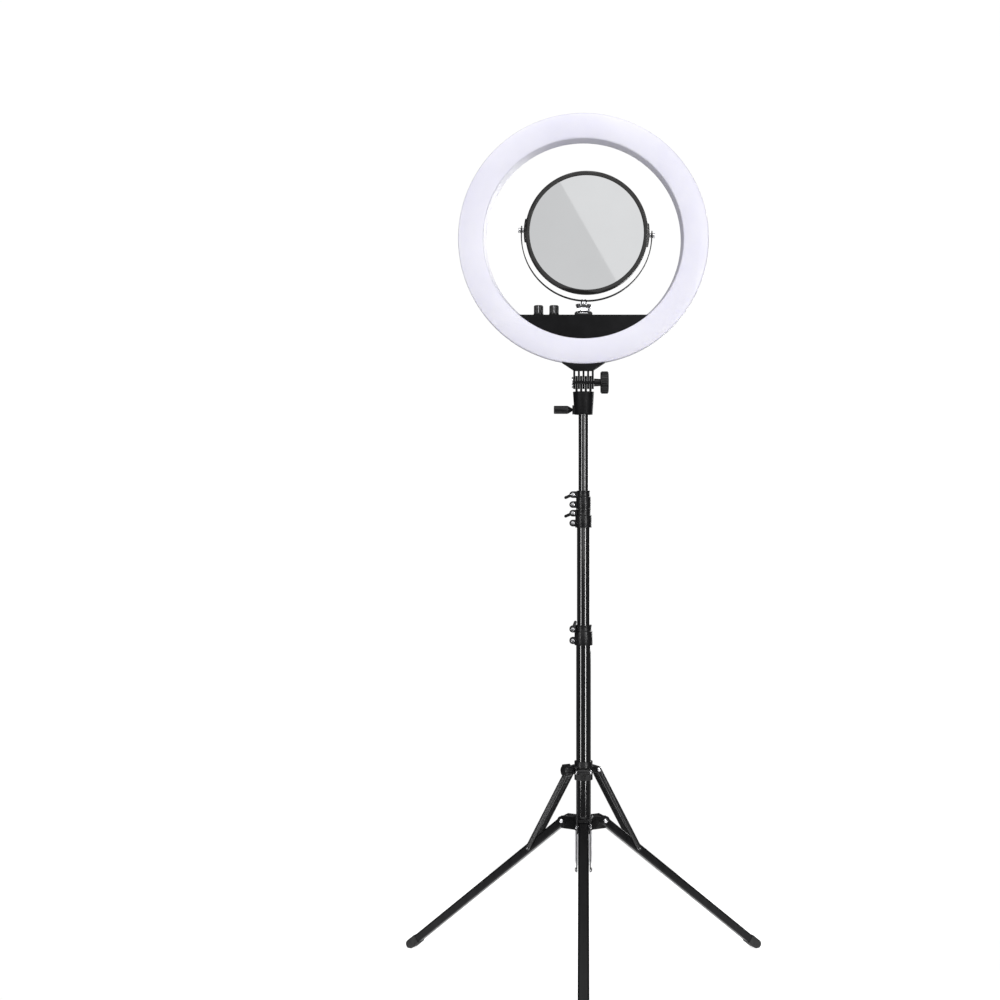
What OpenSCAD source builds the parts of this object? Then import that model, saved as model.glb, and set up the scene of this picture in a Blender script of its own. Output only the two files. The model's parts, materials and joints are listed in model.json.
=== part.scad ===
// Ring light with a vanity mirror in its hole, on a reverse-folding light stand.
// Millimetres, +Z up, the light faces -Y, the feet stand on Z = 0.

/* [Ring] */
// Outer diameter of the diffuser
ring_d = 476; // [400:2:520]
// Diameter of the hole at the front face
hole_d = 380; // [330:2:400]
// Depth of the ring head, front to back
ring_depth = 34; // [30:1:45]
// Depth of the diffuser's outer skirt
skirt_depth = 24; // [16:1:26]
// Wall thickness of the diffuser
diffuser_wall = 2; // [1.5:0.1:3]
// How far the hole's wall closes in towards the back
hole_draft = 4; // [2:0.5:5]
// Rounding of the diffuser's front edges
edge_round = 5; // [2:0.5:7]
// Wall thickness of the rear housing and the control box
shell_wall = 2.4; // [1.8:0.1:3]
// How far the rear housing stands in from the diffuser's outer edge
housing_inset = 5; // [4:0.5:8]
// LEDs in each of the two rows
led_count = 60; // [24:4:72]

/* [Control box] */
// Drop of the box's flat top below the ring's centre
box_drop = 144.5; // [130:0.5:155]
// Distance of the dimmer knob from the ring's centre line
dimmer_offset = 85.5; // [80:0.5:92]
// Distance of the colour knob from the ring's centre line
colour_offset = 56; // [45:0.5:62]
// Diameter of the two knobs at their foot
control_knob_d = 18; // [15:0.5:20]
// Height of the two knobs
control_knob_h = 18.5; // [14:0.5:20]
// Diameter of the potentiometer shafts
pot_shaft_d = 6; // [5:0.5:6.5]
// Width of the rocker switch opening
switch_w = 19; // [15:0.5:21]
// Height of the rocker switch opening
switch_h = 13; // [10:0.5:14]

/* [Mirror] */
// Outer diameter of the mirror frame
mirror_d = 234; // [200:1:240]
// Thickness of the mirror frame
mirror_t = 14; // [12:0.5:18]
// Width of the frame's face round the glass
mirror_rim = 7.5; // [5:0.5:10]
// Thickness of each mirror glass
glass_t = 3; // [2:0.5:4]
// Height of the mirror's centre above the bottom of its bail
mirror_rise = 130.2; // [128:0.1:140]
// Sideways lean of the mirror on its shoe
mirror_lean = 2.2; // [0:0.1:4]
// Gap between the mirror frame's edge and the inside of the bail
bail_gap = 6; // [5:0.5:9]
// Thickness of the bail strip
bail_t = 2; // [1.5:0.1:3]
// Width of the bail strip
bail_w = 12; // [8:0.5:16]

/* [Tilt head] */
// Distance from the tilt axis to the ring's lowest point
tilt_reach = 34.5; // [32:0.5:50]
// Diameter of the finger discs of the hinge
finger_d = 25; // [20:0.5:26]
// Thickness of the upper fork's five fingers
upper_finger_t = 3.8; // [3:0.1:5]
// Thickness of the lower fork's four fingers
lower_finger_t = 4.4; // [3.5:0.1:6]
// Diameter of the tilt bolt
tilt_bolt_d = 6; // [5:0.5:8]
// Diameter of the tilt knob
tilt_knob_d = 42.7; // [34:0.1:46]
// Length of the tilt knob along its axis
tilt_knob_l = 15.8; // [12:0.1:20]
// Diameter of the socket at its top
socket_top_d = 40.4; // [38:0.1:44]
// Diameter of the socket at its bottom
socket_foot_d = 35; // [32:0.5:40]
// Length of the socket
socket_l = 43; // [40:0.5:60]
// Diameter of the spigot on the top tube
spigot_d = 16; // [14:0.1:16]

/* [Column] */
// Outer diameter of the base tube
base_tube_d = 28; // [28:0.5:30]
// Outer diameter of the third tube
third_tube_d = 25; // [24.5:0.1:25]
// Outer diameter of the second tube
second_tube_d = 22; // [21.5:0.1:22]
// Outer diameter of the top tube
top_tube_d = 19; // [18.6:0.1:19]
// Wall thickness of the tubes
tube_wall = 1.2; // [1:0.05:1.2]
// Length of the base tube
base_tube_l = 436; // [380:2:500]
// Length of the third tube
third_tube_l = 440; // [380:5:500]
// Length of the second tube
second_tube_l = 425; // [370:5:480]
// Length of the top tube
top_tube_l = 415; // [360:5:460]
// Length of the third tube that shows above the base clamp
third_out = 185.5; // [60:0.5:250]
// Length of the top tube that shows above the second clamp
top_out = 145; // [60:0.5:250]
// Height of the two upper clamps
clamp_h = 35; // [32:0.5:42]
// Height of the base clamp
base_clamp_h = 38; // [36:0.5:44]

/* [Tripod] */
// Length of a leg from its pivot to the centre of its foot
leg_l = 465.6; // [420:0.1:560]
// Width of a leg
leg_w = 20; // [16:0.5:24]
// Depth of a leg
leg_t = 16; // [13:0.5:18]
// Wall thickness of a leg
leg_wall = 1.2; // [1:0.1:1.6]
// Slope of the opened legs below the horizontal
leg_slope = 39; // [30:0.5:45]
// Distance of the leg pivots from the column's axis
hub_pivot_r = 42; // [40:0.5:50]
// Distance of the brace pivots on the collar from the column's axis
collar_pivot_r = 27; // [25:0.5:30]
// Distance along a leg from its pivot to the brace's rivet
brace_at = 97.2; // [80:0.1:120]
// Length of a brace between its pivots
brace_l = 184.4; // [160:0.1:220]
// Width of a brace strip
strip_w = 9.5; // [7:0.5:12]
// Thickness of a brace strip
strip_t = 2; // [1.5:0.1:2.5]
// Diameter of the tripod's rivets
rivet_d = 6; // [5:0.5:6]
// Height of the hub
hub_h = 26.7; // [20:0.1:32]
// Height of the sliding collar
collar_h = 35; // [28:0.5:40]
// Length of the rubber foot along the leg
foot_l = 30; // [20:1:45]

/* [Hidden] */
$fn = 48;

// Fits
running = 0.05;    // radial play of a turning fit
clear = 0.3;       // gap between pieces that move past each other
overcut = 1;       // how far a cut runs past the face it opens

// Azimuths of the three legs
front_az = -90;
right_az = 30;
left_az = 150;

// Feet and tripod heights
foot_skin = 1;
foot_r = leg_t / 2 + foot_skin;
foot_w = leg_w + 2 * foot_skin;
foot_flat = 1;                                   // what the floor face takes off the round end
foot_z = foot_r - foot_flat;
foot_at = hub_pivot_r + leg_l * cos(leg_slope);
foot_reach = foot_at + foot_r;
hub_pivot_z = foot_z + leg_l * sin(leg_slope);
column_y = (foot_reach - foot_reach * sin(right_az) - foot_w / 2 * cos(right_az)) / 2;
brace_out = hub_pivot_r - collar_pivot_r + brace_at * cos(leg_slope);
brace_angle = asin(brace_out / brace_l);         // from the vertical
collar_pivot_z = hub_pivot_z - brace_at * sin(leg_slope) + brace_l * cos(brace_angle);

// Hub, collar and brace details
cheek_t = 2.8;
cheek_in = leg_w / 2 + 0.4;
hub_wall = 4;
hub_z = hub_pivot_z - 14;                        // underside of the hub
strip_in = leg_w / 2 + 1.3;                      // inner face of a brace strip
lug_w = 2 * (strip_in - clear);
lug_r = 6;
head_t = 2.2;
head_d = 8.5;
collar_z = collar_pivot_z - 18.5;                // underside of the collar
collar_wall = 3.4;
collar_knob_az = 210;
collar_knob_z = collar_pivot_z + 1.5;
collar_knob_d = 25;
collar_screw_d = 6;

// Column heights
grip_h = 15;                                     // upper part of a clamp, round its liner
cap_z = hub_z - 70;
cap_wall = 2;
base_tube_z = cap_z + 8;
base_top = base_tube_z + base_tube_l + grip_h;   // top of the base clamp
base_clamp_z = base_top - base_clamp_h;
third_clamp_z = base_top + third_out;
second_clamp_z = third_clamp_z + clamp_h + clear;
second_top = second_clamp_z + clamp_h;
socket_z = second_top + top_out;                 // underside of the socket
third_tube_z = third_clamp_z + clamp_h - grip_h - third_tube_l;
second_tube_z = second_top - grip_h - second_tube_l;
top_tube_z = socket_z - clear - top_tube_l;
spigot_h = 36;
spigot_plug = 25;

// Tilt head
finger_gap = lower_finger_t + 2 * clear;
finger_pitch = upper_finger_t + finger_gap;
fork_w = 5 * upper_finger_t + 4 * finger_gap;
tilt_z = socket_z + socket_l + finger_d / 2 + 5.5;
bolt_r = tilt_bolt_d / 2;
fork_top = tilt_z + finger_d / 2 + 10.3;         // underside of the flare
flare_w = 82;
ring_z = tilt_z + tilt_reach + ring_d / 2;
bore_r = spigot_d / 2 + 0.1;
bore_depth = spigot_h + 3;
lock_screw_z = socket_z + 8.9;
lock_screw_r = 3;
boss_x = -21.3;
knob_neck = 12.2;                                // length of the tilt knob's neck

// Ring head, in its own frame: x right, y up, z forward, centre of the ring's mid plane
ring_r = ring_d / 2;
hole_r = hole_d / 2;
front_z = ring_depth / 2;
inner_depth = ring_depth - 4;                    // depth of the diffuser's inner wall
hole_back_r = hole_r - hole_draft;
housing_r = ring_r - housing_inset;
spreader_t = 2;
board_z = shell_wall + spreader_t - front_z;     // back of the LED board
board_t = 1.6;
board_in = hole_r + 7;
board_out = housing_r - 9;
led_size = 5;
led_t = 1.4;

// Control box
box_front = front_z - 6;
box_back = -front_z + 2.5;
box_top = -box_drop;
cover_t = 2.5;
knob_z = 2;                                      // depth of the knobs' and the shoe's axes
pot_d = 12;
pot_h = 8;
switch_x = 30;
inlet_x = 62;
rear_part_y = box_top - 16;                      // height of the switch and the inlet
rocker_tip = 8;                                  // tilt of the rocker at rest

// Shoe and mirror, heights above the box's top
shoe_w = 34;
shoe_l = 20;
shoe_base_t = 1.8;
slot_h = 2.4;
slot_w = 18.6;
lip_t = 1.8;
lip_gap = 12.5;
shoe_h = shoe_base_t + slot_h + lip_t;
foot_plate_t = 2;
stud_r = 3;
disc_low = 7;                                    // underside of the lock disc
disc_mid = 13;
disc_top = 20;
bail_low = 26.3;                                 // underside of the bail
mirror_y = bail_low + mirror_rise;
mirror_r = mirror_d / 2;
bail_in = mirror_r + bail_gap;
bail_out = bail_in + bail_t;
bail_straight = mirror_rise - bail_out;          // straight part of the bail below the pivots
pivot_screw_r = 2;
pad_t = 2.7;
glass_r = mirror_r - mirror_rim;

// ---- Placement ----

module at_column() { translate([0, column_y, 0]) children(); }

module at_ring() { at_column() translate([0, 0, ring_z]) rotate([90, 0, 0]) children(); }

// Upright frame on the box's top at the shoe's axis
module at_box_top() { at_ring() translate([0, box_top, knob_z]) children(); }

// Leaning frame of the mirror: origin on the box's top at the shoe's axis, y up the stem
module at_shoe() {
    at_box_top() rotate([0, 0, -mirror_lean]) children();
}

module at_leg(az) { at_column() rotate([0, 0, az]) children(); }

// Frame of a leg: origin at its pivot, x along the leg, y across it
module along_leg(az) {
    at_leg(az) translate([hub_pivot_r, 0, hub_pivot_z]) rotate([0, leg_slope, 0]) children();
}

// Frame of a brace: origin at its collar pivot, x down the brace, y across it
module along_brace(az) {
    at_leg(az) translate([collar_pivot_r, 0, collar_pivot_z])
        rotate([0, 90 - brace_angle, 0]) children();
}

module ring_tube(r_out, r_in, h) {
    difference() {
        cylinder(r = r_out, h = h);
        translate([0, 0, -overcut]) cylinder(r = r_in, h = h + 2 * overcut);
    }
}

module x_rod(r, x0, x1) { translate([x0, 0, 0]) rotate([0, 90, 0]) cylinder(r = r, h = x1 - x0); }

module y_rod(r, y0, y1) { translate([0, y0, 0]) rotate([-90, 0, 0]) cylinder(r = r, h = y1 - y0); }

// ---- Ring head ----

// Points round a corner of radius r about [x, y], from angle a0 to a1
function corner(x, y, r, a0, a1) =
    [for (k = [0:4]) let (a = a0 + k * (a1 - a0) / 4) [x + r * cos(a), y + r * sin(a)]];

// Profile of the diffuser at an inset from its outside, radius against depth
module diffuser_profile(inset) {
    shoulder = front_z - edge_round;
    rr = edge_round - inset;
    polygon(concat(
        corner(hole_r + edge_round, shoulder, rr, 180, 90),
        corner(ring_r - edge_round, shoulder, rr, 90, 0),
        [[ring_r - inset, front_z - skirt_depth - inset],
         [hole_back_r + inset, front_z - inner_depth - inset]]
    ));
}

module diffuser() {
    color([0.92, 0.92, 0.97]) at_ring() difference() {
        rotate_extrude() diffuser_profile(0);
        rotate_extrude() diffuser_profile(diffuser_wall);
    }
}

// Profile of the rear housing along its depth
housing_front = front_z - skirt_depth;           // where it meets the diffuser's skirt
housing_back = -front_z;
housing_lip = 6;                                 // how far its lip reaches into the skirt
housing_bore = hole_back_r + 0.5;
back_taper = 4;
shoulder_in = 1.5;

module rear_housing() {
    wall_top = front_z - inner_depth;
    lip_r = ring_r - diffuser_wall - clear;
    bend = housing_back + back_taper;
    color([0.07, 0.07, 0.08]) at_ring() difference() {
        rotate_extrude() polygon([
            [housing_bore, wall_top], [housing_bore, bend], [housing_bore + back_taper, housing_back],
            [housing_r - back_taper, housing_back], [housing_r, bend],
            [ring_r - shoulder_in, housing_front - clear], [lip_r, housing_front - clear],
            [lip_r, housing_front + housing_lip], [lip_r - shell_wall, housing_front + housing_lip],
            [lip_r - shell_wall, housing_front - shell_wall / 2], [housing_r - shell_wall, bend],
            [housing_r - back_taper, housing_back + shell_wall],
            [housing_bore + back_taper, housing_back + shell_wall],
            [housing_bore + shell_wall, bend], [housing_bore + shell_wall, wall_top]
        ]);
        rear_vents();
        screw_ring() translate([0, 0, housing_back - overcut])
            cylinder(d = screw_d, h = shell_wall + 2 * overcut);
    }
}

// Rows of slots through the back of the housing
vent_w = 3;
vent_l = 22;
module rear_vents() {
    mid = (hole_r + ring_r) / 2 - 1;
    for (side = [0, 90, 180], k = [-3:3])
        rotate([0, 0, side + k * 3]) translate([mid - vent_l / 2, -vent_w / 2, housing_back - overcut])
            cube([vent_l, vent_w, shell_wall + 2 * overcut]);
}

module screw_ring() {
    for (a = [20:40:340])
        rotate([0, 0, a + 90]) translate([hole_r + 15, 0, 0]) children();
}

module heat_spreader() {
    color([0.75, 0.76, 0.78]) at_ring() translate([0, 0, board_z - spreader_t])
        ring_tube(board_out + 3, board_in - 2, spreader_t);
}

module led_board() {
    color([0.93, 0.93, 0.9]) at_ring() translate([0, 0, board_z]) ring_tube(board_out, board_in, board_t);
}

module leds() {
    row_gap = (board_out - board_in) / 3;
    color([1, 0.93, 0.6]) at_ring()
        for (row = [1, 2], k = [0:led_count - 1])
            rotate([0, 0, (k + row / 2) * 360 / led_count])
                translate([board_in + row * row_gap - led_size / 2, -led_size / 2, board_z + board_t])
                    cube([led_size, led_size, led_t]);
}

// Every screw of the head: the housing's back, the box's cover and the bracket
screw_d = 3;
screw_head_d = 5.6;
screw_head_t = 1.2;
cover_screws = [[-98, 6], [-52, 24], [52, 24], [98, 6]];  // across, and down from the box's top
cover_screw_l = 6;
bracket_screw_x = 26;

module head_screw(shank) {
    cylinder(d = screw_head_d, h = screw_head_t);
    cylinder(d = screw_d, h = screw_head_t + shank);
}

module head_screws() {
    shank = ring_z - sqrt(pow(ring_r, 2) - pow(bracket_screw_x, 2)) - bracket_seat_z - clear;
    color([0.2, 0.2, 0.22]) {
        at_ring() {
            screw_ring() translate([0, 0, housing_back - screw_head_t]) head_screw(shell_wall);
            for (p = cover_screws) translate([p.x, box_top - p.y, box_back - cover_t - screw_head_t])
                head_screw(cover_t + cover_screw_l);
        }
        for (s = [-1, 1]) at_column()
            translate([s * bracket_screw_x, 0, bracket_seat_z - screw_head_t]) head_screw(shank);
    }
}

// ---- Control box ----

// Space below the box's flat top, inside the ring's hole, drawn in from it by inset
module box_space(inset, z0, z1) {
    r_at = function(z) hole_r - hole_draft * (front_z - edge_round - z) / (inner_depth - edge_round)
        - inset;
    z_foot = front_z - inner_depth;
    z_mid = max(z0, min(z1, z_foot));
    intersection() {
        union() {
            if (z1 > z_mid) translate([0, 0, z_mid])
                cylinder(r1 = r_at(z_mid), r2 = r_at(z1), h = z1 - z_mid, $fn = 96);
            if (z0 < z_mid) translate([0, 0, z0]) cylinder(r = r_at(z_foot), h = z_mid - z0, $fn = 96);
        }
        translate([-ring_r, -ring_r, z0 - overcut])
            cube([2 * ring_r, ring_r + box_top - inset, z1 - z0 + 2 * overcut]);
    }
}

module control_box() {
    color([0.09, 0.09, 0.1]) at_ring() difference() {
        box_space(0, box_back, box_front);
        box_space(shell_wall, box_back - overcut, box_front - shell_wall);
        for (x = [-dimmer_offset, -colour_offset])
            translate([x, box_top - shell_wall - overcut, knob_z])
                y_rod(pot_shaft_d / 2 + 0.6, 0, shell_wall + 2 * overcut);
    }
    color([0.09, 0.09, 0.1]) at_ring() for (p = cover_screws)
        translate([p.x, box_top - p.y, box_back]) difference() {
            cylinder(d = 2 * screw_d, h = box_front - box_back - shell_wall);
            translate([0, 0, -overcut]) cylinder(d = screw_d, h = cover_screw_l + overcut);
        }
}

module box_cover() {
    color([0.07, 0.07, 0.08]) at_ring() difference() {
        box_space(0, box_back - cover_t, box_back);
        for (p = cover_screws) translate([p.x, box_top - p.y, box_back - cover_t - overcut])
            cylinder(d = screw_d, h = cover_t + 2 * overcut);
        translate([switch_x - switch_w / 2, rear_part_y - switch_h / 2, box_back - cover_t - overcut])
            cube([switch_w, switch_h, cover_t + 2 * overcut]);
        translate([inlet_x, rear_part_y, box_back - cover_t - overcut])
            cylinder(d = 8, h = cover_t + 2 * overcut);
    }
}

module driver_board() {
    board_w = 70;
    board_h = 20;
    standoff = 5;
    color([0.1, 0.4, 0.2]) at_ring()
        translate([-42, box_top - 14 - board_h, box_front - shell_wall - standoff - board_t]) {
            cube([board_w, board_h, board_t]);
            for (x = [4, board_w - 4]) translate([x, board_h / 2, board_t]) cylinder(d = 4, h = standoff);
            for (x = [6, 24, 46]) translate([x, 5, -7]) cube([12, 10, 7]);
            for (x = [21, 42, 59]) translate([x, 10, -9]) cylinder(d = 5, h = 9);
        }
}

module potentiometers() {
    color([0.55, 0.56, 0.58]) at_ring() for (x = [-dimmer_offset, -colour_offset])
        translate([x, box_top - shell_wall, knob_z]) difference() {
            union() {
                y_rod(pot_d / 2, -pot_h, 0);
                y_rod(pot_shaft_d / 2 + 0.5, 0, shell_wall);
            }
            y_rod(pot_shaft_d / 2 + running, -pot_h + 2, shell_wall + overcut);
        }
}

// Height of a knob's skirt above the box, and the depth of its shaft's hole
knob_lift = 0.5;
// A ribbed, slightly tapered knob with a pointer groove towards the front
knob_ribs = 18;
module control_knob(x) {
    r = control_knob_d / 2;
    color([0.05, 0.05, 0.06]) at_ring() translate([x, box_top + knob_lift, knob_z]) rotate([-90, 0, 0]) {
        difference() {
            union() {
                cylinder(r1 = r, r2 = r - 1, h = control_knob_h - knob_lift);
                for (k = [0:knob_ribs - 1]) rotate([0, 0, k * 360 / knob_ribs])
                    translate([r - 1.2, -0.6, 0]) cube([1.2, 1.2, control_knob_h - 4]);
            }
            translate([-0.6, -r - overcut, control_knob_h - 1.2]) cube([1.2, r + overcut - 2, 2]);
        }
        translate([0, 0, -knob_lift - shell_wall - pot_h + 2 + clear])
            cylinder(d = pot_shaft_d, h = knob_lift + shell_wall + pot_h);
    }
}
module dimmer_knob() { control_knob(-dimmer_offset); }
module colour_knob() { control_knob(-colour_offset); }

bezel_w = 1.6;
module switch_bezel() {
    back = box_back - cover_t;
    color([0.06, 0.06, 0.06]) at_ring() translate([switch_x, rear_part_y, 0]) difference() {
        union() {
            translate([-switch_w / 2 - bezel_w, -switch_h / 2 - bezel_w, back - 1.4])
                cube([switch_w + 2 * bezel_w, switch_h + 2 * bezel_w, 1.4]);
            translate([-switch_w / 2 + 0.1, -switch_h / 2 + 0.1, back])
                cube([switch_w - 0.2, switch_h - 0.2, 14]);
        }
        translate([-switch_w / 2 + 1.4, -switch_h / 2 + 1.4, back - 2])
            cube([switch_w - 2.8, switch_h - 2.8, 12]);
        translate([0, 0, back + 3]) x_rod(1, -switch_w / 2 + 0.6, switch_w / 2 - 0.6);
    }
}

// The rocker turns on two stub pins in its bezel
module switch_rocker() {
    w = switch_w - 2.8 - 2 * clear;
    h = switch_h - 2.8 - 2 * clear;
    back = box_back - cover_t;
    color([0.7, 0.08, 0.06]) at_ring() translate([switch_x, rear_part_y, back + 3]) rotate([rocker_tip, 0, 0]) {
        intersection() {
            translate([-w / 2, -h / 2, -6]) cube([w, h, 9]);
            x_rod(h / 2 + 0.1, -w / 2, w / 2);
        }
        x_rod(1 - running, -switch_w / 2 + 0.8, switch_w / 2 - 0.8);
    }
}

module dc_inlet() {
    back = box_back - cover_t;
    color([0.12, 0.12, 0.13]) at_ring() translate([inlet_x, rear_part_y, 0]) {
        difference() {
            union() {
                translate([0, 0, back - 1.5]) cylinder(d = 11, h = 1.5);
                translate([0, 0, back]) cylinder(d = 7.8, h = 13);
            }
            translate([0, 0, back - 1.5 - overcut]) cylinder(r = 2.8, h = 11 + overcut);
        }
        translate([0, 0, back - 0.5]) cylinder(r = 1, h = 11);
    }
}

// Rails that take the mirror's foot
module cold_shoe() {
    color([0.08, 0.08, 0.09]) at_box_top() difference() {
        translate([-shoe_w / 2, 0, -shoe_l / 2]) cube([shoe_w, shoe_h, shoe_l]);
        translate([-slot_w / 2, shoe_base_t, -shoe_l / 2 - overcut])
            cube([slot_w, slot_h, shoe_l + 2 * overcut]);
        translate([-lip_gap / 2, shoe_base_t, -shoe_l / 2 - overcut])
            cube([lip_gap, shoe_h, shoe_l + 2 * overcut]);
        for (s = [-1, 1]) translate([s * shoe_w / 2, shoe_h, 0]) rotate([0, 0, s * 45])
            cube([4, 4, shoe_l + 2 * overcut], center = true);
    }
}

// ---- Mirror ----

module shoe_foot() {
    neck_r = 5;
    cap_y = bail_low + bail_t + clear;
    color("silver") {
        at_box_top() {
            translate([-slot_w / 2 + clear, shoe_base_t, -slot_w / 2])
                cube([slot_w - 2 * clear, foot_plate_t, slot_w]);
            y_rod(neck_r, shoe_base_t + foot_plate_t, shoe_h + clear);
        }
        at_shoe() {
            y_rod(stud_r, shoe_base_t + foot_plate_t, cap_y);
            y_rod(stud_r + 3, disc_top + clear, bail_low - clear);
            y_rod(stud_r + 2, cap_y, cap_y + 1.2);
        }
    }
}

disc_ribs = 24;
module lock_disc() {
    color([0.82, 0.82, 0.84]) at_shoe() rotate([-90, 0, 0]) difference() {
        union() {
            translate([0, 0, disc_low]) cylinder(r = 10.6, h = disc_mid - disc_low);
            for (k = [0:disc_ribs - 1]) rotate([0, 0, k * 360 / disc_ribs])
                translate([10, -0.7, disc_low + 0.6]) cube([1.2, 1.4, disc_mid - disc_low - 1.2]);
            translate([0, 0, disc_mid]) cylinder(r1 = 13.4, r2 = 16, h = disc_top - disc_mid - 1);
            translate([0, 0, disc_top - 1]) cylinder(r1 = 16, r2 = 15.2, h = 1);
        }
        translate([0, 0, disc_low - overcut]) cylinder(r = stud_r + running, h = disc_top - disc_low + 2 * overcut);
    }
}

pivot_end = 9;                                   // how far the bail's ends rise above the pivots
module mirror_bail() {
    color([0.08, 0.08, 0.09]) at_shoe() difference() {
        translate([0, mirror_y, -bail_w / 2]) {
            intersection() {
                translate([0, -bail_straight, 0]) ring_tube(bail_out, bail_in, bail_w);
                translate([-bail_out - overcut, -bail_out - bail_straight - overcut, 0])
                    cube([2 * bail_out + 2 * overcut, bail_out + overcut, bail_w]);
            }
            for (x = [-bail_out, bail_in]) translate([x, -bail_straight, 0])
                cube([bail_t, bail_straight + pivot_end - bail_w / 2, bail_w]);
            for (x = [-bail_out, bail_in]) translate([x, pivot_end - bail_w / 2, bail_w / 2])
                x_rod(bail_w / 2, 0, bail_t);
        }
        y_rod(stud_r + running, bail_low - overcut, bail_low + bail_t + overcut);
        translate([0, mirror_y, 0]) x_rod(pivot_screw_r + running, -bail_out - overcut, bail_out + overcut);
    }
}

module mirror_frame() {
    color([0.06, 0.06, 0.07]) at_shoe() translate([0, mirror_y, 0]) difference() {
        union() {
            translate([0, 0, -mirror_t / 2]) cylinder(r = mirror_r, h = mirror_t, $fn = 96);
            intersection() {
                translate([0, 0, -mirror_t / 2 + 1]) cylinder(r = mirror_r + pad_t, h = mirror_t - 2, $fn = 96);
                cube([2 * mirror_d, 43, mirror_t], center = true);
            }
        }
        for (s = [-1, 1]) translate([0, 0, s * (mirror_t / 2 - glass_t / 2)])
            cylinder(r = glass_r, h = glass_t + 0.02, center = true, $fn = 96);
        translate([0, 0, -mirror_t / 2 + glass_t + 1.5])
            cylinder(r = glass_r - 3, h = mirror_t - 2 * glass_t - 3, $fn = 96);
        for (s = [-1, 1]) rotate([0, 0, s == 1 ? 0 : 180])
            x_rod(pivot_screw_r + running, mirror_r - 4.6, mirror_r + 5);
    }
}

module mirror_glass() {
    color([0.85, 0.86, 0.87]) at_shoe() translate([0, mirror_y, mirror_t / 2 - glass_t])
        cylinder(r = glass_r - 0.05, h = glass_t - 0.6, $fn = 96);
}

module magnifier_glass() {
    color([0.85, 0.86, 0.87]) at_shoe() translate([0, mirror_y, -mirror_t / 2 + 0.6])
        cylinder(r = glass_r - 0.05, h = glass_t - 0.6, $fn = 96);
}

// Thumb screws through the bail's ends into the frame
module pivot_screws() {
    color([0.75, 0.75, 0.77]) at_shoe() translate([0, mirror_y, 0]) for (a = [0, 180]) rotate([0, 0, a]) {
        x_rod(pivot_screw_r, mirror_r - 4.3, bail_out + clear + 1);
        x_rod(4, mirror_r + pad_t + clear, bail_in - clear);
        x_rod(4.6, bail_out + clear, bail_out + clear + 5);
    }
}

// ---- Tilt head ----

bracket_seat_z = ring_z - ring_r - 3.4;
bracket_depth = 28;
saddle_gap = 0.15;                               // pad between the saddle and the ring

// Outer solid of the ring, which the bracket's saddle is cut to
module ring_envelope() {
    at_ring() {
        translate([0, 0, housing_front]) cylinder(r = ring_r + saddle_gap, h = skirt_depth, $fn = 96);
        translate([0, 0, housing_back])
            cylinder(r1 = housing_r, r2 = ring_r - shoulder_in + saddle_gap, h = housing_front - housing_back,
                $fn = 96);
    }
}

module finger(t, toward) {
    rotate([0, 90, 0]) cylinder(d = finger_d, h = t, center = true);
    translate([-t / 2, -finger_d / 2, min(0, toward)]) cube([t, finger_d, abs(toward)]);
}

module mount_bracket() {
    saddle_z = ring_z - sqrt(pow(ring_r, 2) - pow(flare_w / 2, 2));
    color([0.06, 0.06, 0.07]) difference() {
        at_column() union() {
            translate([0, bracket_depth / 2, 0]) rotate([90, 0, 0]) linear_extrude(bracket_depth) polygon([
                [-fork_w / 2, fork_top], [fork_w / 2, fork_top], [fork_w / 2, fork_top + 1],
                [flare_w / 2, saddle_z], [flare_w / 2 - 4, saddle_z + 8],
                [-flare_w / 2 + 4, saddle_z + 8], [-flare_w / 2, saddle_z], [-fork_w / 2, fork_top + 1]
            ]);
            translate([0, 0, tilt_z]) for (i = [-2:2]) translate([i * finger_pitch, 0, 0])
                finger(upper_finger_t, fork_top - tilt_z + 1);
        }
        ring_envelope();
        at_column() translate([0, 0, tilt_z]) x_rod(bolt_r + running, -flare_w, flare_w);
        for (s = [-1, 1]) at_column() translate([s * bracket_screw_x, 0, bracket_seat_z - 20])
            cylinder(r = screw_head_d / 2 + 0.2, h = 20);
        for (s = [-1, 1]) at_column() translate([s * bracket_screw_x, 0, bracket_seat_z - overcut])
            cylinder(r = screw_d / 2, h = 20);
    }
}

module tilt_socket() {
    stem = tilt_z - socket_z - socket_l + 1;
    color([0.07, 0.07, 0.08]) at_column() difference() {
        union() {
            translate([0, 0, socket_z]) cylinder(d1 = socket_foot_d, d2 = socket_top_d, h = socket_l);
            translate([0, 0, tilt_z]) for (i = [-1.5:1:1.5]) translate([i * finger_pitch, 0, 0])
                finger(lower_finger_t, -stem);
            translate([0, 0, lock_screw_z]) x_rod(8.75, boss_x, 0);
        }
        translate([0, 0, socket_z - overcut]) cylinder(r = bore_r, h = bore_depth + overcut);
        translate([0, 0, tilt_z]) x_rod(bolt_r, -fork_w, fork_w);
        translate([0, 0, lock_screw_z]) x_rod(lock_screw_r + running, boss_x - overcut, 0);
    }
}

// Bolt with a round head on the left; the knob's nut runs on its other end
module tilt_bolt() {
    color([0.5, 0.5, 0.52]) at_column() translate([0, 0, tilt_z]) {
        x_rod(bolt_r, -fork_w / 2 - clear - 1, fork_w / 2 + knob_neck + tilt_knob_l - 3);
        x_rod(10.5, -fork_w / 2 - clear - 2.4, -fork_w / 2 - clear);
    }
}

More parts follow.
